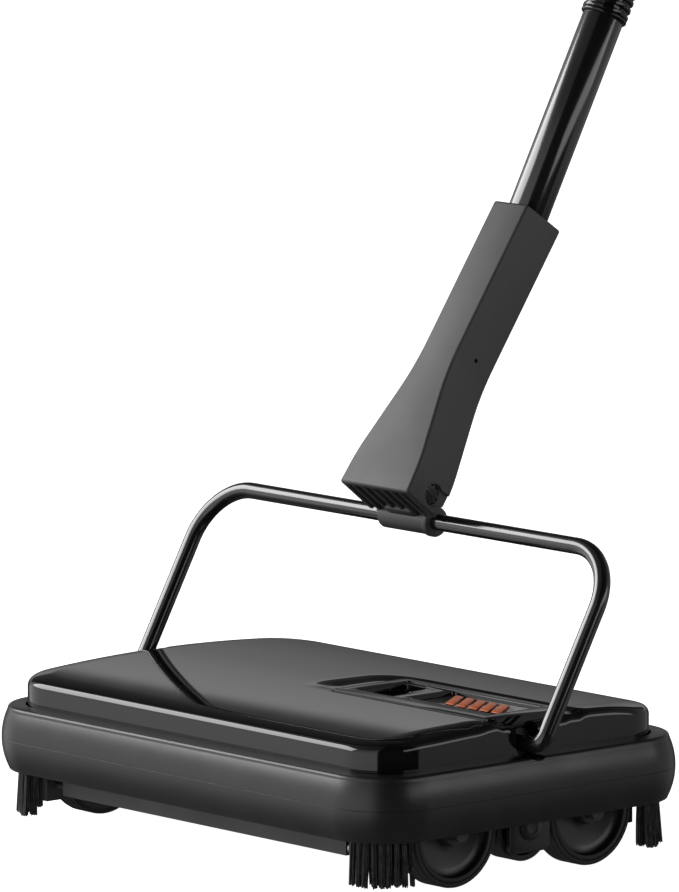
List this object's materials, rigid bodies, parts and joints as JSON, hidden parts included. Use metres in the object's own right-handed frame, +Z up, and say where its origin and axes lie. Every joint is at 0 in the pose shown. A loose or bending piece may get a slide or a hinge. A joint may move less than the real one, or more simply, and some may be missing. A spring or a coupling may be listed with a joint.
{
  "type": "carpet sweeper",
  "caption": "Push carpet sweeper: low housing with bumper, wheel-driven brush roll, dust pans that swing open, tilting bail and a long sectioned handle.",
  "frame": {"origin": "on the floor under the middle of the body", "axes": "+X along the wheel axles to the right of someone facing the back, -Y to the front, the handle leans to +Y, +Z up"},
  "size_m": [0.334, 0.6019, 0.9602],
  "materials": {
    "gloss_black": "gloss",
    "satin_black": "satin",
    "socket_grey": "fine matte texture",
    "inner_black": "matte",
    "tyre_rubber": "matte",
    "drum_rubber": "matte",
    "grip_foam": "matte foam",
    "bristle": "bristle",
    "rod_paint": "gloss",
    "badge_orange": "printed",
    "steel": "plain"
  },
  "bodies": {
    "body": {"chassis": "inner_black", "top_housing": "gloss_black", "bumper": "satin_black", "bezel": "gloss_black", "badge": "badge_orange", "housing_screws": "steel", "paddle_pin": "steel", "paddle_spring": "steel", "bearing_bracket_left": "satin_black", "bearing_bracket_right": "satin_black", "axle_front_left": "inner_black", "axle_front_right": "inner_black", "axle_rear_left": "inner_black", "axle_rear_right": "inner_black", "bristle_comb": "inner_black", "front_pan_rod": "inner_black", "rear_pan_rod": "inner_black", "front_pan_spring": "steel", "rear_pan_spring": "steel", "tuft_front_left": "bristle", "tuft_front_right": "bristle", "tuft_rear_left": "bristle", "tuft_rear_right": "bristle", "holder_front_left": "inner_black", "holder_front_right": "inner_black", "holder_rear_left": "inner_black", "holder_rear_right": "inner_black", "bush_left": "satin_black", "bush_right": "satin_black"},
    "wheel_front_left": {"hub_front_left": "satin_black", "tyre_front_left": "tyre_rubber"},
    "wheel_front_right": {"hub_front_right": "satin_black", "tyre_front_right": "tyre_rubber"},
    "wheel_rear_left": {"hub_rear_left": "satin_black", "tyre_rear_left": "tyre_rubber"},
    "wheel_rear_right": {"hub_rear_right": "satin_black", "tyre_rear_right": "tyre_rubber"},
    "brush_roll": {"brush_spindle": "steel", "brush_core": "inner_black", "brush_bristles": "bristle", "drive_drum_left": "drum_rubber", "drive_drum_right": "drum_rubber"},
    "front_pan": {"front_dust_pan": "inner_black"},
    "rear_pan": {"rear_dust_pan": "inner_black"},
    "paddle": {"release_paddle": "satin_black"},
    "bail": {"bail": "rod_paint"},
    "handle": {"bail_sleeve": "socket_grey", "handle_socket": "socket_grey", "detent_barrel": "inner_black", "socket_screw": "inner_black", "tube_lower": "rod_paint", "coupling_lower": "gloss_black", "tube_middle": "rod_paint", "coupling_upper": "gloss_black", "tube_upper": "rod_paint", "grip": "grip_foam", "hang_cap": "satin_black"}
  },
  "joints": [
    {"name": "brush_spin", "type": "hinge", "parent": "body", "child": "brush_roll", "pos_m": [0, 0, 0.027], "axis": [1, 0, 0], "continuous": true},
    {"name": "wheel_front_left_spin", "type": "hinge", "parent": "body", "child": "wheel_front_left", "pos_m": [-0.1415, -0.048, 0.029], "axis": [1, 0, 0], "continuous": true},
    {"name": "wheel_front_right_spin", "type": "hinge", "parent": "body", "child": "wheel_front_right", "pos_m": [0.1415, -0.048, 0.029], "axis": [1, 0, 0], "continuous": true},
    {"name": "wheel_rear_left_spin", "type": "hinge", "parent": "body", "child": "wheel_rear_left", "pos_m": [-0.1415, 0.048, 0.029], "axis": [1, 0, 0], "continuous": true},
    {"name": "wheel_rear_right_spin", "type": "hinge", "parent": "body", "child": "wheel_rear_right", "pos_m": [0.1415, 0.048, 0.029], "axis": [1, 0, 0], "continuous": true},
    {"name": "front_pan_swing", "type": "hinge", "parent": "body", "child": "front_pan", "pos_m": [0, -0.09, 0.022], "axis": [-1, 0, 0], "range_deg": [0, 36], "stiffness_Nm_per_rad": 0.1, "springref_deg": -57.3},
    {"name": "rear_pan_swing", "type": "hinge", "parent": "body", "child": "rear_pan", "pos_m": [0, 0.09, 0.022], "axis": [1, 0, 0], "range_deg": [0, 36]},
    {"name": "paddle_press", "type": "hinge", "parent": "body", "child": "paddle", "pos_m": [0.0355, 0.018, 0.074], "axis": [1, 0, 0], "range_deg": [0, 18]},
    {"name": "bail_tilt", "type": "hinge", "parent": "body", "child": "bail", "pos_m": [0, 0, 0.071], "axis": [-1, 0, 0], "range_deg": [-100, 55]},
    {"name": "handle_tilt", "type": "hinge", "parent": "bail", "child": "handle", "pos_m": [0, 0.05446, 0.16726], "axis": [-1, 0, 0], "range_deg": [-25, 50]}
  ],
  "couplings": [
    {"joint": "wheel_front_left_spin", "follows": "brush_spin", "ratio": -0.6566},
    {"joint": "wheel_front_right_spin", "follows": "brush_spin", "ratio": -0.6566},
    {"joint": "wheel_rear_left_spin", "follows": "brush_spin", "ratio": -0.6566},
    {"joint": "wheel_rear_right_spin", "follows": "brush_spin", "ratio": -0.6566},
    {"joint": "rear_pan_swing", "follows": "front_pan_swing", "ratio": 1},
    {"joint": "paddle_press", "follows": "front_pan_swing", "ratio": 0.5}
  ]
}
